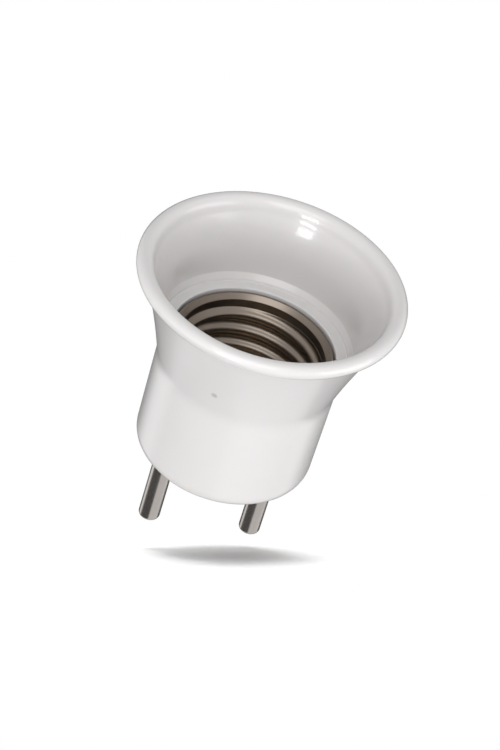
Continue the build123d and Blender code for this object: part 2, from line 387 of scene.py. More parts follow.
@dataclass(frozen=True)
class TurnedMetal(Finish):
    """Metal with fine rings round an axis along Z, or a pair of them, as turning or rolling leaves them."""

    ring_scale: float = 9000.0
    ring_depth: float = 0.6e-6
    ring_swing: float = 0.12
    wander: float = 0.9
    stain_scale: float = 260.0
    stain_share: float = 0.86
    stain_swing: float = 0.08
    axis_x: float = 0.0
    core_radius: float = 1e-6

    def pattern(self, bench: Bench, shader: bpy.types.Node) -> None:
        """Add rings that wander slowly round the axis, and a faint stain.

        Args:
            bench: The material's nodes.
            shader: The shader whose sockets the pattern feeds.
        """
        place = self.place(bench)
        across, y, z = bench.split(place)
        x = bench.math("ABSOLUTE", across) - self.axis_x
        radius = bench.math("SQRT", x * x + y * y) + self.core_radius
        along = (z + radius) * self.ring_scale
        rings = bench.noise(bench.vector(x / radius * self.wander, y / radius * self.wander, along), 1.0, 3.0)
        stain = bench.noise(place, self.stain_scale, 4.0, 0.6)
        varied = rings * self.ring_swing + stain * self.stain_swing
        colour = self.tint(bench, stain, self.stain_share)
        roughness = self.uneven(varied, self.ring_swing + self.stain_swing)
        self.feed(bench, shader, colour, roughness, self.relief(bench, rings, self.ring_depth))


@dataclass(frozen=True)
class RolledStrip(Finish):
    """Rolled sheet metal with fine lines that follow one another across X."""

    line_scale: float = 7000.0
    line_depth: float = 0.5e-6
    line_swing: float = 0.16
    stretch: float = 0.02
    stain_scale: float = 300.0
    stain_share: float = 0.82

    def pattern(self, bench: Bench, shader: bpy.types.Node) -> None:
        """Add lines stretched along Y and Z, and a faint stain.

        Args:
            bench: The material's nodes.
            shader: The shader whose sockets the pattern feeds.
        """
        place = self.place(bench)
        x, y, z = bench.split(place)
        drawn = self.line_scale * self.stretch
        lines = bench.noise(bench.vector(x * self.line_scale, y * drawn, z * drawn), 1.0, 3.0)
        stain = bench.noise(place, self.stain_scale, 4.0, 0.6)
        colour = self.tint(bench, stain, self.stain_share)
        roughness = self.uneven(lines * self.line_swing, self.line_swing)
        self.feed(bench, shader, colour, roughness, self.relief(bench, lines, self.line_depth))


@dataclass(frozen=True)
class MattMoulding(Finish):
    """Matt insulating moulding with a fine filler speck."""

    speck_scale: float = 2600.0
    speck_share: float = 0.9
    speck_stops: tuple[Point, Point] = ((0.42, 0.0), (0.62, 1.0))
    gloss_swing: float = 0.2
    grain_depth: float = 3e-6

    def pattern(self, bench: Bench, shader: bpy.types.Node) -> None:
        """Add specks in the colour and a grain in the surface.

        Args:
            bench: The material's nodes.
            shader: The shader whose sockets the pattern feeds.
        """
        speck = bench.noise(self.place(bench), self.speck_scale, 3.0, 0.65)
        level = bench.wire("ShaderNodeValToRGB", {"stops": self.speck_stops}, {"Fac": speck})
        colour = self.tint(bench, level, self.speck_share)
        roughness = self.uneven(speck * self.gloss_swing, self.gloss_swing)
        self.feed(bench, shader, colour, roughness, self.relief(bench, speck, self.grain_depth))


@dataclass(frozen=True)
class PlatedSteel(Finish):
    """Zinc-plated steel with a blotchy bright coat."""

    blotch_scale: float = 900.0
    blotch_share: float = 0.84
    gloss_swing: float = 0.24
    grain_depth: float = 1e-6

    def pattern(self, bench: Bench, shader: bpy.types.Node) -> None:
        """Add blotches in the colour and the gloss, and a fine grain in the surface.

        Args:
            bench: The material's nodes.
            shader: The shader whose sockets the pattern feeds.
        """
        blotch = bench.noise(self.place(bench), self.blotch_scale, 4.0, 0.6)
        colour = self.tint(bench, blotch, self.blotch_share)
        roughness = self.uneven(blotch * self.gloss_swing, self.gloss_swing)
        self.feed(bench, shader, colour, roughness, self.relief(bench, blotch, self.grain_depth))


def between(first: Point, second: Point, share: float) -> Point:
    """Point at a share of the way from one point to another."""
    return (first[0] + (second[0] - first[0]) * share, first[1] + (second[1] - first[1]) * share)


class Outline:
    """Section drawn run by run as radius and height, with rounded corners."""

    ARC_STEP = math.radians(6.0)
    BOW_STEPS = 24
    ROUND_STEPS = 8

    def __init__(self, radius: float, height: float) -> None:
        """Start at a point.

        Args:
            radius: Radius of the point.
            height: Height of the point.
        """
        self.start: Point = (radius, height)
        self.runs: list[list[Point]] = []
        self.rounds: list[float] = []

    def to(self, radius: float, height: float, bow: float = 0.0, rounded: float = 0.0) -> "Outline":
        """Run to a point.

        Args:
            radius: Radius of the point.
            height: Height of the point.
            bow: How far the run bends to its left from a straight line.
            rounded: Radius of the corner at the point.

        Returns:
            The outline itself.
        """
        first = self._end()
        across = (radius - first[0], height - first[1])
        length = math.hypot(*across)
        steps = self.BOW_STEPS if bow else 1
        run = []
        for step in range(steps + 1):
            share = step / steps
            lift = 4 * bow * share * (1 - share) / length
            middle = between(first, (radius, height), share)
            run.append((middle[0] - across[1] * lift, middle[1] + across[0] * lift))
        self.runs.append(run)
        self.rounds.append(rounded)
        return self

    def arc(self, centre: Point, radius: float, start: float, end: float, rounded: float = 0.0) -> "Outline":
        """Run along an arc, from where the last run ends.

        Args:
            centre: Centre of the arc.
            radius: Radius of the arc.
            start: Angle where the arc starts, in degrees from the direction of the radius.
            end: Angle where it ends.
            rounded: Radius of the corner at its end.

        Returns:
            The outline itself.
        """
        first, last = math.radians(start), math.radians(end)
        steps = max(2, round(abs(last - first) / self.ARC_STEP))
        angles = [first + (last - first) * step / steps for step in range(steps + 1)]
        spokes = [(radius * math.cos(turn), radius * math.sin(turn)) for turn in angles]
        self.runs.append([(centre[0] + along, centre[1] + above) for along, above in spokes])
        self.rounds.append(rounded)
        return self

    def trace(self) -> list[Point]:
        """Round the corners of the whole outline.

        Returns:
            Its points.
        """
        path = [self.start]
        run = self.runs[0]
        for number, following in enumerate(self.runs[1:]):
            if self.rounds[number] > 0:
                run, corner, following = self._rounded(run, following, self.rounds[number])
            else:
                corner = []
            path += run[1:] + corner
            run = following
        return path + run[1:]

    def _end(self) -> Point:
        """Last point so far."""
        return self.runs[-1][-1] if self.runs else self.start

    def _rounded(
        self, run: list[Point], following: list[Point], radius: float
    ) -> tuple[list[Point], list[Point], list[Point]]:
        """Shorten two runs and bridge them with a round.

        Args:
            run: Run that ends at the corner.
            following: Run that starts there.
            radius: Radius of the round.

        Returns:
            The first run cut back, the round's inner points, and the second run cut back.
        """
        inward = self._heading(run[-2], run[-1])
        outward = self._heading(following[0], following[1])
        cosine = max(-1.0, min(1.0, inward[0] * outward[0] + inward[1] * outward[1]))
        turn = math.acos(cosine)
        cut = radius * math.tan(turn / 2)
        run = self._shortened(run[::-1], cut)[::-1]
        following = self._shortened(following, cut)
        inward = self._heading(run[-2], run[-1])
        outward = self._heading(following[0], following[1])
        reach = radius * math.tan(turn / 4) * 4 / 3
        poles = [
            run[-1],
            (run[-1][0] + inward[0] * reach, run[-1][1] + inward[1] * reach),
            (following[0][0] - outward[0] * reach, following[0][1] - outward[1] * reach),
            following[0],
        ]
        corner = [self._on_curve(poles, step / self.ROUND_STEPS) for step in range(1, self.ROUND_STEPS + 1)]
        return run, corner, following

    @staticmethod
    def _heading(first: Point, second: Point) -> Point:
        """Unit direction from one point to another."""
        length = math.dist(first, second)
        return ((second[0] - first[0]) / length, (second[1] - first[1]) / length)

    @staticmethod
    def _on_curve(poles: Sequence[Point], share: float) -> Point:
        """Find a point of a cubic curve.

        Args:
            poles: Its four poles.
            share: How far along it, from 0 to 1.

        Returns:
            The point.
        """
        rest = 1 - share
        weights = (rest**3, 3 * rest * rest * share, 3 * rest * share * share, share**3)
        return (
            sum(w * p[0] for w, p in zip(weights, poles)),
            sum(w * p[1] for w, p in zip(weights, poles)),
        )

    @staticmethod
    def _shortened(run: list[Point], length: float) -> list[Point]:
        """Take a length off the start of a run.

        Args:
            run: Points of the run.
            length: How much goes.

        Returns:
            The points that are left.
        """
        left = length
        for number in range(len(run) - 1):
            step = math.dist(run[number], run[number + 1])
            if left < step - SLACK:
                return [between(run[number], run[number + 1], left / step)] + run[number + 1 :]
            left -= step
        raise ValueError("a corner is rounder than its run is long")


def dense(path: Sequence[Point], step: float) -> list[Point]:
    """Path with no stretch longer than a step.

    Args:
        path: Points of an open path.
        step: Longest stretch that is left.

    Returns:
        The same path with points added on its long stretches.
    """
    made = [path[0]]
    for first, second in zip(path, path[1:]):
        parts = max(1, math.ceil(math.dist(first, second) / step))
        made += [between(first, second, part / parts) for part in range(1, parts + 1)]
    return made


def put(name: str, data: bpy.types.ID) -> bpy.types.Object:
    """Put an object with its data in the scene.

    Args:
        name: Name of the object.
        data: Its mesh, lamp or camera.

    Returns:
        The object.
    """
    made = bpy.data.objects.new(name, data)
    bpy.context.scene.collection.objects.link(made)
    return made


def placed(spot: Vector, *axes: Vector) -> Matrix:
    """Placement at a spot, with X, Y and Z along three directions."""
    return Matrix.Translation(spot) @ Matrix(axes).transposed().to_4x4()


def level_face(name: str, corners: Sequence[Point]) -> bpy.types.Object:
    """Make an object with one level face.

    Args:
        name: Name of the object.
        corners: The face's corners in turn, as X and Y.

    Returns:
        The object.
    """
    mesh = bpy.data.meshes.new(name)
    mesh.from_pydata([(*corner, 0.0) for corner in corners], [], [list(range(len(corners)))])
    return put(name, mesh)


def new_object(
    name: str, vertices: Sequence[Sequence[float]], faces: Sequence[Sequence[int]]
) -> bpy.types.Object:
    """Make an object from points and faces.

    Args:
        name: Name of the object.
        vertices: Its points.
        faces: Each face's corners in turn, as numbers of points.

    Returns:
        The object.
    """
    mesh = bpy.data.meshes.new(name)
    mesh.from_pydata(vertices, [], faces)
    face_outwards(mesh)
    return put(name, mesh)


def face_outwards(mesh: bpy.types.Mesh) -> None:
    """Turn a closed mesh's faces outwards, and an open one's all the same way.

    Args:
        mesh: The mesh.
    """
    work = bmesh.new()
    work.from_mesh(mesh)
    bmesh.ops.recalc_face_normals(work, faces=work.faces)
    work.to_mesh(mesh)
    work.free()


def lathe(name: str, path: Sequence[Point], segments: int, closed: bool = False) -> bpy.types.Object:
    """Turn a section round the Z axis.

    Args:
        name: Name of the object.
        path: Points as radius and height; a point on the axis becomes a pole.
        segments: How many steps make a full turn.
        closed: Whether the last point joins the first, as in a ring.

    Returns:
        The turned object.
    """
    vertices: list[tuple[float, float, float]] = []
    rings: list[list[int]] = []
    for radius, height in path:
        if radius < AXIS_RADIUS:
            rings.append([len(vertices)] * segments)
            vertices.append((0.0, 0.0, height))
            continue
        rings.append(list(range(len(vertices), len(vertices) + segments)))
        for step in range(segments):
            angle = 2 * math.pi * step / segments
            vertices.append((radius * math.cos(angle), radius * math.sin(angle), height))
    faces = []
    for low, high in zip(rings, rings[1:] + rings[:1] if closed else rings[1:]):
        for step in range(segments):
            after = (step + 1) % segments
            corners = [low[step], low[after], high[after], high[step]]
            faces.append(list(dict.fromkeys(corners)))
    return new_object(name, vertices, faces)


def shift(target: bpy.types.Object, x: float, y: float = 0.0) -> bpy.types.Object:
    """Move a piece's mesh sideways, so that its object stays at the origin."""
    target.data.transform(Matrix.Translation((x, y, 0.0)))
    return target


def post(name: str, spot: Point, radius: float, low: float, high: float) -> bpy.types.Object:
    """Upright round post, used as a tool body."""
    return shift(lathe(name, [(0, low), (radius, low), (radius, high), (0, high)], TOOL_SEGMENTS), *spot)


def settle(target: bpy.types.Object) -> None:
    """Make what the modifiers give the piece's own mesh, and drop the modifiers.

    Args:
        target: The piece.
    """
    bpy.context.view_layer.update()
    evaluated = target.evaluated_get(bpy.context.evaluated_depsgraph_get())
    mesh = bpy.data.meshes.new_from_object(evaluated)
    old = target.data
    target.modifiers.clear()
    target.data = mesh
    bpy.data.meshes.remove(old)


def carve(target: bpy.types.Object, tools: Sequence[bpy.types.Object], cut: Cut) -> None:
    """Add tool bodies to a piece or take them out of it, then delete them.

    Args:
        target: The piece.
        tools: Closed bodies.
        cut: What the tools do.
    """
    for tool in tools:
        step = target.modifiers.new("carve", "BOOLEAN")
        step.operation = cut.value
        step.solver = "EXACT"
        step.object = tool
    settle(target)
    for tool in tools:
        bpy.data.objects.remove(tool)


def smooth(target: bpy.types.Object, crease: float = math.radians(38)) -> None:
    """Shade a piece smooth, with sharp edges where it turns more than the crease."""
    target.data.shade_smooth()
    target.data.set_sharp_from_angle(angle=crease)


def wear(target: bpy.types.Object, material: bpy.types.Material) -> None:
    """Give every face of a piece one material."""
    target.data.materials.clear()
    target.data.materials.append(material)


def stand_in(
    target: bpy.types.Object, node: str, body: str, material: bpy.types.Material
) -> None:
    """Dress a piece and let it stand for a solid.

    Args:
        target: The finished piece.
        node: The solid's node.
        body: The body that the piece rides on.
        material: Its material.
    """
    wear(target, material)
    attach(target, body)
    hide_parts(node)
    log.info("%s stands for %s with %d faces", target.name, node, len(target.data.polygons))


@dataclass(frozen=True)
class Moulding:
    """The white housing: plug end, body, bell with its rolled lip, and the seat round the shell."""

    plug_end_radius: float = 0.01625
    plug_edge_round: float = 0.0025
    body_draft: float = math.radians(0.7)
    neck_height: float = 0.0205
    neck_round: float = 0.012
    bell_height: float = 0.041
    bell_bow: float = 0.00035
    lip_ring_radius: float = 0.02285
    lip_thickness: float = 0.0029
    lip_root_round: float = 0.0004
    lip_root_degrees: float = 4.0
    floor_thickness: float = 0.003
    bore_radius: float = 0.015
    seat_height: float = 0.0254
    seat_width: float = 0.002
    seat_wall: float = 0.0005
    funnel_foot_width: float = 0.0007
    funnel_foot_rise: float = 0.0011
    funnel_bow: float = 0.0007
    edge_round: float = 0.00025
    foot_round: float = 0.0004
    crease_round: float = 0.007
    boss_radius: float = 0.0028
    boss_height: float = 0.0024
    boss_foot: float = 0.001
    row_step: float = 0.0006
    segments: int = 256

    def outline(self) -> list[Point]:
        """Draw the half section from the plug face round the lip to the floor inside.

        Returns:
            Its points.
        """
        neck_radius = self.plug_end_radius + self.neck_height * math.tan(self.body_draft)
        lip_radius = self.lip_thickness / 2
        lip_level = self.bell_height - lip_radius
        seat_edge = self.bore_radius + self.seat_width
        seat_top = self.seat_height + self.seat_wall
        rise = math.atan2(lip_level - self.neck_height, self.lip_ring_radius - neck_radius)
        root_angle = math.degrees(rise) - 180.0 + self.lip_root_degrees
        root = (
            self.lip_ring_radius + lip_radius * math.cos(math.radians(root_angle)),
            lip_level + lip_radius * math.sin(math.radians(root_angle)),
        )
        return (
            Outline(0.0, 0.0)
            .to(self.plug_end_radius, 0.0, rounded=self.plug_edge_round)
            .to(neck_radius, self.neck_height, rounded=self.neck_round)
            .to(*root, bow=self.bell_bow, rounded=self.lip_root_round)
            .arc((self.lip_ring_radius, lip_level), lip_radius, root_angle, 180.0, self.crease_round)
            .to(
                seat_edge + self.funnel_foot_width,
                seat_top + self.funnel_foot_rise,
                bow=-self.funnel_bow,
                rounded=self.foot_round,
            )
            .to(seat_edge, seat_top, rounded=self.edge_round)
            .to(seat_edge, self.seat_height, rounded=self.edge_round / 2)
            .to(self.bore_radius, self.seat_height, rounded=self.edge_round)
            .to(self.bore_radius, self.floor_thickness, rounded=self.edge_round)
            .to(0.0, self.floor_thickness)
            .trace()
        )

    def build(self, pins: "PlugPins", screws: "CarrierScrews", material: bpy.types.Material) -> None:
        """Turn the housing, then add its bosses and its holes.

        Args:
            pins: The pins whose holes it has.
            screws: The screws whose bosses it has.
            material: The white plastic.
        """
        housing = lathe("bell_housing_moulding", dense(self.outline(), self.row_step), self.segments)
        top = self.floor_thickness + self.boss_height
        bosses = [post("boss", spot, self.boss_radius, self.boss_foot, top) for spot in screws.spots()]
        carve(housing, bosses, Cut.ADD)
        holes = [screws.hole(spot, top) for spot in screws.spots()]
        carve(housing, holes + pins.holes(), Cut.REMOVE)
        smooth(housing)
        stand_in(housing, "bell_housing", HOLDER, material)


@dataclass(frozen=True)
class CarrierScrews:
    """Where the two screws stand that hold the shell and the carrier down."""

    ring_radius: float = 0.0106
    angle: float = math.radians(135.0)
    hole_radius: float = 0.0013
    tip_level: float = 0.00085

    def spots(self) -> list[Point]:
        """Middle of each screw."""
        turns = (self.angle, self.angle + math.pi)
        return [(self.ring_radius * math.cos(turn), self.ring_radius * math.sin(turn)) for turn in turns]

    def hole(self, spot: Point, top: float) -> bpy.types.Object:
        """Tool for one screw's hole in its boss."""
        return post("screw_hole", spot, self.hole_radius, self.tip_level, top + PAST)


@dataclass(frozen=True)
class PlugPins:
    """Two turned plug pins with a collar in the housing's floor."""

    spacing: float = 0.019
    radius: float = 0.002
    root_radius: float = 0.0024
    length: float = 0.019
    tip_round: float = 0.0008
    collar_radius: float = 0.0032
    collar_thickness: float = 0.0014
    collar_top: float = 0.003
    clearance: float = 0.00005
    bore_radius: float = 0.0013
    bore_depth: float = 0.0042
    edge_round: float = 0.00012
    segments: int = 128
    hole_segments: int = 96

    def outline(self) -> list[Point]:
        """Draw the half section from the tip to the bottom of the tapped hole.

        Returns:
            Its points.
        """
        collar_low = self.collar_top - self.collar_thickness
        return (
            Outline(0.0, -self.length)
            .to(self.radius, -self.length, rounded=self.tip_round)
            .to(self.radius, 0.0)
            .to(self.root_radius, 0.0)
            .to(self.root_radius, collar_low)
            .to(self.collar_radius, collar_low, rounded=self.edge_round)
            .to(self.collar_radius, self.collar_top, rounded=self.edge_round)
            .to(self.bore_radius, self.collar_top, rounded=self.edge_round)
            .to(self.bore_radius, self.collar_top - self.bore_depth)
            .to(0.0, self.collar_top - self.bore_depth)
            .trace()
        )

    def holes(self) -> list[bpy.types.Object]:
        """Make the tools for the holes and collar seats in the housing.

        Returns:
            A tool for each pin.
        """
        root, seat = self.root_radius + self.clearance, self.collar_radius + self.clearance
        step, top = self.collar_top - self.collar_thickness, self.collar_top + PAST
        path = [(0.0, -PAST), (root, -PAST), (root, step), (seat, step), (seat, top), (0.0, top)]
        return [
            shift(lathe("pin_hole", path, self.hole_segments), side * self.spacing / 2) for side in (-1, 1)
        ]

    def build(self, material: bpy.types.Material) -> None:
        """Turn both pins.

        Args:
            material: The nickel finish.
        """
        for node, side in (("line_pin", 1), ("neutral_pin", -1)):
            pin = shift(lathe(node + "_turned", self.outline(), self.segments), side * self.spacing / 2)
            smooth(pin)
            stand_in(pin, node, HOLDER, material)


@dataclass(frozen=True)
class ThreadedShell:
    """Rolled metal shell: lamp thread, flared mouth, skirt and bottom flange."""

    crest_radius: float = 0.0122
    depth: float = 0.0011
    pitch: float = 0.003629
    crest_angle: float = math.radians(77.0)
    crest_height: float = 0.0208
    sheet: float = 0.0004
    wall_radius: float = 0.0134
    lead_in: float = 0.00025
    fade: float = 0.0016
    flange_level: float = 0.008
    skirt_height: float = 0.002
    hole_radius: float = 0.0085
    bend_round: float = 0.0006
    thread_top: float = 0.0228
    mouth_level: float = 0.024
    top_level: float = 0.0249
    mouth_flare: float = 0.0008
    mouth_round: float = 0.0003
    screw_hole: float = 0.0015
    rivet_hole: float = 0.00095
    fade_blend: float = 0.0002
    row_step: float = 0.00014
    segments: int = 180

    def wall(self, outer: bool) -> Outline:
        """One face of the sheet, from the flange's hole up to the mouth, without its thread.

        Args:
            outer: Whether the face is the one away from the lamp.

        Returns:
            The open outline.
        """
        grown = self.sheet if outer else 0.0
        floor_level = self.flange_level + self.sheet - grown
        skirt_level = self.flange_level + self.sheet + self.skirt_height
        waist = self.crest_radius - self.lead_in + grown
        wall = self.wall_radius + grown
        return (
            Outline(self.hole_radius, floor_level)
            .to(wall, floor_level, rounded=self.bend_round - (0.0 if outer else self.sheet))
            .to(wall, skirt_level, rounded=self.mouth_round)
            .to(waist, skirt_level + self.fade, rounded=self.mouth_round)
            .to(waist, self.thread_top - self.fade, rounded=self.mouth_round)
            .to(wall, self.thread_top - self.fade / 4, rounded=self.mouth_round)
            .to(wall, self.mouth_level, rounded=self.mouth_round)
            .to(wall + self.mouth_flare, self.top_level)
        )

    def plain_shell(self) -> bpy.types.Object:
        """Turn a closed shell with no thread, whose points say which face they lie on.

        Returns:
            The shell.
        """
        inner = dense(self.wall(outer=False).trace(), self.row_step)
        outer = dense(self.wall(outer=True).trace(), self.row_step)
        path = inner + outer[::-1]
        grown = [0.0] * len(inner) + [self.sheet] * len(outer)
        shell = lathe("screw_shell_rolled", path, self.segments, closed=True)
        low = self.flange_level + self.sheet + self.skirt_height / 2
        on_wall = [float(low < height < self.thread_top) for _, height in path]
        self._mark(shell.data, "grown", grown)
        self._mark(shell.data, "on_wall", on_wall)
        return shell

    def _mark(self, mesh: bpy.types.Mesh, name: str, values: Sequence[float]) -> None:
        """Write one value a row as a point attribute."""
        attribute = mesh.attributes.new(name, "FLOAT", "POINT")
        attribute.data.foreach_set("value", [value for value in values for _ in range(self.segments)])

    def sizes(self) -> dict[str, float]:
        """List the named inputs of the thread's tree.

        Returns:
            The size of each.
        """
        return {
            "Crest Radius": self.crest_radius,
            "Depth": self.depth,
            "Pitch": self.pitch,
            "Crest Angle": self.crest_angle,
            "Crest Height": self.crest_height,
            "Fade Blend": self.fade_blend,
        }

    def thread_tree(self, material: bpy.types.Material) -> bpy.types.NodeTree:
        """Tree that presses a helical thread of tangent arcs into a turned wall.

        Args:
            material: The shell's material.

        Returns:
            The geometry tree, with the sizes as its named inputs.
        """
        tree = bpy.data.node_groups.new("rolled_lamp_thread", "GeometryNodeTree")
        tree.interface.new_socket("Geometry", in_out="INPUT", socket_type="NodeSocketGeometry")
        for name in self.sizes():
            tree.interface.new_socket(name, in_out="INPUT", socket_type="NodeSocketFloat")
        tree.interface.new_socket("Geometry", in_out="OUTPUT", socket_type="NodeSocketGeometry")
        bench = Bench(tree)
        given = bench.node("NodeGroupInput")
        crest_radius, depth, pitch, crest_angle, crest_height, fade_blend = (
            Wire(bench, given.outputs[name]) for name in self.sizes()
        )
        x, y, z = bench.split(bench.wire("GeometryNodeInputPosition"))
        grown = self._attribute(bench, "grown")
        on_wall = self._attribute(bench, "on_wall")

        turns = (bench.math("ARCTAN2", y, x) - crest_angle) / (2 * math.pi)
        phase = (z - crest_height) / pitch - turns
        from_crest = bench.math("ABSOLUTE", phase - bench.math("ROUND", phase)) * pitch
        flank = bench.math("ARCTANGENT", depth * 2 / pitch) * 2
        arc = pitch / (bench.math("SINE", flank) * 4)
        crest_arc = arc - grown
        root_arc = arc + grown
        from_root = pitch * 0.5 - from_crest
        crest_side = crest_radius + arc - self._leg(bench, crest_arc, from_crest)
        root_side = crest_radius + depth - arc + self._leg(bench, root_arc, from_root)
        is_crest = bench.math("LESS_THAN", from_crest, crest_arc * bench.math("SINE", flank))
        thread = root_side + is_crest * (crest_side - root_side)

        radius = bench.math("SQRT", x * x + y * y)
        pressed = bench.math("SMOOTH_MAX", radius, thread, fade_blend)
        scale = 1 + on_wall * (pressed - radius) / radius
        place = bench.vector(x * scale, y * scale, z)
        wall = Wire(bench, given.outputs["Geometry"])
        moved = bench.wire("GeometryNodeSetPosition", {}, {"Geometry": wall, "Position": place})
        real = bench.wire("GeometryNodeRealizeInstances", {}, {"Geometry": moved})
        dressed = bench.wire("GeometryNodeSetMaterial", {}, {"Geometry": real, "Material": material})
        bench.node("NodeGroupOutput", {}, {"Geometry": dressed})
        return tree

    @staticmethod
    def _attribute(bench: Bench, name: str) -> Wire:
        """A point attribute as a field."""
        kind = {"data_type": "FLOAT"}
        return bench.wire("GeometryNodeInputNamedAttribute", kind, {"Name": name}, "Attribute")

    @staticmethod
    def _leg(bench: Bench, longest: Wire, other: Wire) -> Wire:
        """Second leg of a right triangle, or 0 where the first is too long."""
        return bench.math("SQRT", bench.math("MAXIMUM", longest * longest - other * other, 0.0))

    def build(self, screws: CarrierScrews, rivet: Point, material: bpy.types.Material) -> None:
        """Roll the shell and punch its flange.

        Args:
            screws: The screws that pass its flange.
            rivet: Where the rivet passes it.
            material: The nickel finish.
        """
        shell = self.plain_shell()
        tree = self.thread_tree(material)
        press = shell.modifiers.new("thread", "NODES")
        press.node_group = tree
        sizes = self.sizes()
        for socket in tree.interface.items_tree:
            if socket.name in sizes:
                press[socket.identifier] = sizes[socket.name]
        settle(shell)
        low, high = self.flange_level - PAST, self.flange_level + self.sheet + PAST
        holes = [post("flange_hole", spot, self.screw_hole, low, high) for spot in screws.spots()]
        holes.append(post("rivet_hole", rivet, self.rivet_hole, low, high))
        carve(shell, holes, Cut.REMOVE)
        smooth(shell)
        stand_in(shell, "screw_shell", HOLDER, material)


@dataclass(frozen=True)
class LampContact:
    """The spring tongue under the lamp and the domed tip in its pad."""

    strip_width: float = 0.0046
    strip_thickness: float = 0.0004
    strip_level: float = 0.009
    root_end: float = 0.0077
    bend_start: float = 0.004
    bend_end: float = 0.0016
    pad_end: float = -0.0022
    rise: float = 0.002
    bend_round: float = 0.0008
    corner_round: float = 0.001
    columns: int = 14
    row_step: float = 0.00018
    rivet_y: float = 0.006
    rivet_hole: float = 0.00095
    tip_hole: float = 0.00085
    dome_radius: float = 0.0019
    dome_height: float = 0.001
    dome_round: float = 0.0008
    shank_radius: float = 0.0008
    foot_radius: float = 0.0013
    foot_height: float = 0.0003
    segments: int = 96

    def centre_line(self) -> list[Point]:
        """Draw the middle of the strip as seen from the side.

        Returns:
            Its points as Y and Z.
        """
        low = self.strip_level + self.strip_thickness / 2
        high = low + self.rise
        side = (
            Outline(self.root_end, low)
            .to(self.bend_start, low, rounded=self.bend_round)
            .to(self.bend_end, high, rounded=self.bend_round)
            .to(self.pad_end, high)
        )
        return dense(side.trace(), self.row_step)

    def half_width(self, y: float) -> float:
        """Work out half of the strip's width, less near its round corners.

        Args:
            y: Place along the strip.

        Returns:
            Half the width there.
        """
        from_end = min(self.root_end - y, y - self.pad_end)
        inside = max(0.0, self.corner_round - from_end)
        trimmed = self.corner_round - math.sqrt(max(0.0, self.corner_round**2 - inside**2))
        return self.strip_width / 2 - trimmed

    def spring(self) -> bpy.types.Object:
        """Make the bent strip with rounded ends and its two holes.

        Returns:
            The strip.
        """
        vertices = []
        line = self.centre_line()
        for y, z in line:
            half = self.half_width(y)
            for column in range(self.columns + 1):
                vertices.append((half * (2 * column / self.columns - 1), y, z))
        faces = []
        width = self.columns + 1
        for row in range(len(line) - 1):
            for column in range(self.columns):
                corner = row * width + column
                faces.append((corner, corner + 1, corner + width + 1, corner + width))
        strip = new_object("contact_spring_strip", vertices, faces)
        wall = strip.modifiers.new("thickness", "SOLIDIFY")
        wall.thickness = self.strip_thickness
        wall.offset = 0.0
        settle(strip)
        low, high = self.strip_level - PAST, self.strip_level + self.rise + self.strip_thickness + PAST
        tools = [
            post("rivet_hole", (0.0, self.rivet_y), self.rivet_hole, low, high),
            post("tip_hole", (0.0, 0.0), self.tip_hole, low, high),
        ]
        carve(strip, tools, Cut.REMOVE)
        smooth(strip)
        return strip

    def tip(self) -> bpy.types.Object:
        """Turn the domed stud: foot, shank and dome.

        Returns:
            The stud.
        """
        pad_low = self.strip_level + self.rise
        pad_high = pad_low + self.strip_thickness
        top = pad_high + self.dome_height
        path = (
            Outline(0.0, pad_low - self.foot_height)
            .to(self.foot_radius, pad_low - self.foot_height, rounded=self.foot_height / 3)
            .to(self.foot_radius, pad_low)
            .to(self.shank_radius, pad_low)
            .to(self.shank_radius, pad_high)
            .to(self.dome_radius, pad_high)
            .to(self.dome_radius, top, rounded=self.dome_round)
            .to(0.0, top)
            .trace()
        )
        return lathe("contact_tip_turned", path, self.segments)

    def build(self, bronze: bpy.types.Material, brass: bpy.types.Material) -> None:
        """Make both pieces: the tip moves with the lamp's contact, and the strip stays where it is made.

        Args:
            bronze: Finish of the strip.
            brass: Finish of the tip.
        """
        strip = self.spring()
        wear(strip, bronze)
        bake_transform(strip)
        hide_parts("contact_spring")
        log.info("%s bends between %s and %s", strip.name, HOLDER, LAMP_CONTACT)
        tip = self.tip()
        smooth(tip)
        stand_in(tip, "contact_tip", LAMP_CONTACT, brass)


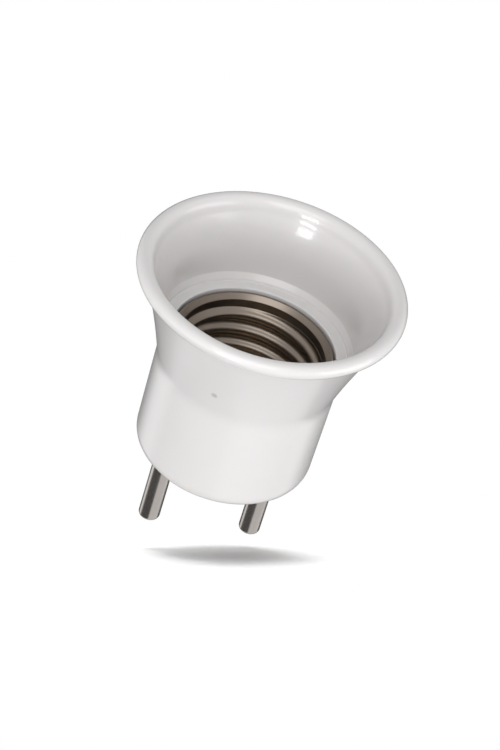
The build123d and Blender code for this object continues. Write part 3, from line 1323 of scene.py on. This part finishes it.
@dataclass(frozen=True)
class Studio:
    """Camera, lamps, cards and pale floor around the holder."""

    azimuth: float = math.radians(-13.78)
    elevation: float = math.radians(39.41)
    lean: float = math.radians(17.41)
    distance: float = 0.6
    aim_right: float = 0.005145
    aim_up: float = 0.013135
    lens: float = 158.44
    lit_height: float = 0.025
    floor_right: float = 0.0027
    floor_drop: float = 0.0198
    floor_pitch: float = math.radians(3.1)
    floor_radius: float = 0.0365
    floor_corners: int = 64
    floor_grey: float = 0.8
    card_rim: float = 2.5
    card_rim_round: float = 0.3
    ambient: float = 0.41

    def axes(self) -> tuple[Vector, Vector, Vector]:
        """Find the directions of the picture.

        Returns:
            Right, up and towards the camera.
        """
        flat = math.cos(self.elevation)
        back = Vector(
            (math.sin(self.azimuth) * flat, -math.cos(self.azimuth) * flat, math.sin(self.elevation))
        )
        level = Vector((math.cos(self.azimuth), math.sin(self.azimuth), 0.0))
        upright = back.cross(level)
        right = level * math.cos(self.lean) + upright * math.sin(self.lean)
        up = upright * math.cos(self.lean) - level * math.sin(self.lean)
        return right, up, back

    def place(self, right: float, up: float, back: float) -> Vector:
        """Point given by distances along the picture's directions, from the plug face's middle."""
        axes = self.axes()
        return axes[0] * right + axes[1] * up + axes[2] * back

    def camera(self) -> None:
        """Camera at the photograph's angle, for a picture of 500 by 750."""
        right, up, back = self.axes()
        data = bpy.data.cameras.new("camera")
        data.sensor_width = 36.0
        data.lens = self.lens
        data.clip_start = 0.01
        data.clip_end = 20.0
        made = put("camera", data)
        made.matrix_world = placed(self.place(self.aim_right, self.aim_up, self.distance), right, up, back)
        bpy.context.scene.camera = made

    def facing(self, spot: Vector) -> Matrix:
        """Face the bell from a spot.

        Args:
            spot: The spot.

        Returns:
            Placement there, with -Z towards the bell and X level as the holder stands.
        """
        away = (spot - Vector((0, 0, self.lit_height))).normalized()
        level = Vector((0, 0, 1)).cross(away).normalized()
        return placed(spot, level, away.cross(level), away)

    def lamp(self, name: str, spot: Vector, size: Point, power: float) -> bpy.types.Object:
        """Soft rectangular lamp that faces the holder.

        Args:
            name: Name of the lamp.
            spot: Where it stands.
            size: Width and height.
            power: Watts.

        Returns:
            The lamp.
        """
        data = bpy.data.lights.new(name, "AREA")
        data.shape = "RECTANGLE"
        data.size, data.size_y = size
        data.energy = power
        made = put(name, data)
        made.matrix_world = self.facing(spot)
        return made

    def lamps(self, floor: bpy.types.Object) -> None:
        """Broad key near the camera, four fills, a small window, and a lamp for the floor alone.

        Args:
            floor: The floor, which only the last lamp lights.
        """
        for lamp in (
            self.lamp("key", self.place(-0.02, 0.06, 1.0), (0.8, 0.8), 3.9),
            self.lamp("left_fill", self.place(-0.82, -0.3, 0.35), (0.8, 0.8), 1.8),
            self.lamp("right_fill", self.place(0.88, -0.38, 0.2), (0.8, 0.8), 4.1),
            self.lamp("low_fill", self.place(0.0, -0.8, 0.6), (0.8, 0.8), 0.3),
            self.lamp("back_fill", self.place(0.15, -0.1, -1.0), (0.8, 0.8), 4.0),
            self.lamp("window", self.place(-0.228, -0.219, 0.51), (0.16, 0.13), 0.7),
        ):
            self.link(lamp, floor, "EXCLUDE")
        above = self.lamp("above_floor", self.place(0.1, 0.8, 0.4), (0.6, 0.6), 31.0)
        self.link(above, floor, "INCLUDE")

    @staticmethod
    def link(lamp: bpy.types.Object, floor: bpy.types.Object, state: str) -> None:
        """Let a lamp light the floor alone, or all but the floor.

        Args:
            lamp: The lamp.
            floor: The floor.
            state: INCLUDE for the floor alone, EXCLUDE for all else.
        """
        receivers = bpy.data.collections.new(lamp.name + "_receivers")
        receivers.objects.link(floor)
        receivers.collection_objects[0].light_linking.link_state = state
        lamp.light_linking.receiver_collection = receivers

    def world(self) -> None:
        """White surroundings for what is seen and mirrored, dimmer ones for soft light."""
        world = bpy.data.worlds.new("surroundings")
        world.use_nodes = True
        bench = Bench(world.node_tree)
        rays = bench.node("ShaderNodeLightPath")
        camera, glossy, through = (
            Wire(bench, rays.outputs[f"Is {kind} Ray"]) for kind in ("Camera", "Glossy", "Transmission")
        )
        seen = bench.math("MAXIMUM", camera, bench.math("MAXIMUM", glossy, through))
        strength = seen + (1 - seen) * self.ambient
        sky = bench.wire("ShaderNodeBackground", {}, {"Color": (1, 1, 1, 1), "Strength": strength})
        bench.node("ShaderNodeOutputWorld", {}, {"Surface": sky})
        bpy.context.scene.world = world

    def floor(self) -> bpy.types.Object:
        """Pale round floor below the pins, nearly level in the picture.

        Returns:
            The floor.
        """
        right, up, back = self.axes()
        normal = up * math.cos(self.floor_pitch) + back * math.sin(self.floor_pitch)
        turns = [2 * math.pi * step / self.floor_corners for step in range(self.floor_corners)]
        reach = self.floor_radius
        made = level_face("floor", [(reach * math.cos(turn), reach * math.sin(turn)) for turn in turns])
        spot = self.place(self.floor_right, -self.floor_drop, 0.0)
        made.matrix_world = placed(spot, right, normal.cross(right), normal)
        wear(made, self.floor_material())
        return made

    def floor_material(self) -> bpy.types.Material:
        """Make a pale grey that fades out at its rim, and is clear from below and in mirror images.

        Returns:
            The material.
        """
        material, bench = new_material("pale_floor")
        place = bench.wire("ShaderNodeTexCoord", output="Object")
        reach = bench.wire("ShaderNodeVectorMath", {"operation": "LENGTH"}, {0: place}, "Value")
        inside = 1 - reach / self.floor_radius
        facing = 1 - bench.wire("ShaderNodeNewGeometry", output="Backfacing")
        seen = bench.wire("ShaderNodeLightPath", output="Is Camera Ray")
        cover = inside * inside * (3 - inside * 2) * facing * seen
        grey = opaque((self.floor_grey, self.floor_grey, self.floor_grey))
        bench.surface(bench.wire("ShaderNodeBsdfDiffuse", {}, {"Color": grey}), cover)
        return material

    def card(self, name: str, spot: Vector, size: Point, level: float) -> None:
        """Grey card that shows only as a reflection.

        Args:
            name: Name of the card.
            spot: Where it stands.
            size: Width and height.
            level: Its grey level.
        """
        wide, tall = size[0] / 2, size[1] / 2
        made = level_face(name, [(-wide, -tall), (wide, -tall), (wide, tall), (-wide, tall)])
        made.matrix_world = self.facing(spot)
        material, bench = new_material(name)
        x, y, _ = bench.split(bench.wire("ShaderNodeTexCoord", output="Object"))
        beside = 1 - bench.math("ABSOLUTE", x) / wide
        above = 1 - bench.math("ABSOLUTE", y) / tall
        inside = bench.math("MINIMUM", beside, above)
        soft = bench.math("SMOOTH_MIN", inside * self.card_rim, 1.0, self.card_rim_round)
        mirrored = bench.wire("ShaderNodeLightPath", output="Is Glossy Ray")
        grey = bench.wire("ShaderNodeEmission", {}, {"Color": opaque((level, level, level))})
        bench.surface(grey, soft * mirrored)
        wear(made, material)

    def build(self) -> None:
        """Set the stage and the view settings."""
        self.camera()
        self.world()
        self.lamps(self.floor())
        self.card("left_card", self.place(-0.22, -0.20, 0.02), (0.54, 0.54), 0.08)
        self.card("back_card", self.place(0.03, 0.03, -0.35), (0.8, 0.8), 0.05)
        self.card("low_card", self.place(0.04, -0.33, -0.04), (0.7, 0.7), 0.65)
        bpy.context.scene.view_settings.view_transform = "Standard"
        log.info("studio is set")


def finishes() -> dict[Slot, Finish]:
    """List the finish of every slot.

    Returns:
        The finishes.
    """
    return {
        Slot.WHITE_PLASTIC: GlossMoulding(
            "white_plastic", (0.83, 0.813, 0.808), 0.25, coat=0.45, coat_roughness=0.06, subsurface=0.15
        ),
        Slot.NICKEL_SHELL: TurnedMetal("nickel_shell", (0.225, 0.19, 0.16), 0.34, metallic=1.0),
        Slot.NICKEL_PIN: TurnedMetal("nickel_pin", (0.70, 0.65, 0.61), 0.22, metallic=1.0, axis_x=0.0095),
        Slot.IVORY_INSULATOR: MattMoulding("ivory_insulator", (0.86, 0.80, 0.68), 0.6),
        Slot.SPRING_BRONZE: RolledStrip("spring_bronze", (0.72, 0.50, 0.31), 0.3, metallic=1.0),
        Slot.CONTACT_BRASS: TurnedMetal("contact_brass", (0.78, 0.60, 0.33), 0.28, metallic=1.0),
        Slot.STRAP_BRASS: RolledStrip("strap_brass", (0.74, 0.57, 0.31), 0.34, metallic=1.0),
        Slot.ZINC_STEEL: PlatedSteel("zinc_steel", (0.63, 0.64, 0.66), 0.34, metallic=1.0),
    }


def dress_solids(materials: dict[Slot, bpy.types.Material]) -> None:
    """Give each solid that stays on show its own finish.

    Args:
        materials: The material of every slot.
    """
    for entry in frame["record"]["subparts"]:
        solid = frame["nodes"][entry["node"]]
        if not solid.hide_render:
            wear(solid, materials[Slot(entry["material_slot"])])
            log.info("%s keeps its solid", solid.name)


def main() -> None:
    """Build the studio and every piece, in order."""
    logging.basicConfig(level=logging.INFO)
    Studio().build()
    materials = {slot: finish.build() for slot, finish in finishes().items()}
    pins = PlugPins()
    screws = CarrierScrews()
    low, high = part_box("shell_rivet")
    middle = (low + high) / 2
    pins.build(materials[Slot.NICKEL_PIN])
    Moulding().build(pins, screws, materials[Slot.WHITE_PLASTIC])
    ThreadedShell().build(screws, (middle.x, middle.y), materials[Slot.NICKEL_SHELL])
    LampContact().build(materials[Slot.SPRING_BRONZE], materials[Slot.CONTACT_BRASS])
    dress_solids(materials)


if __name__ == "__main__":
    main()
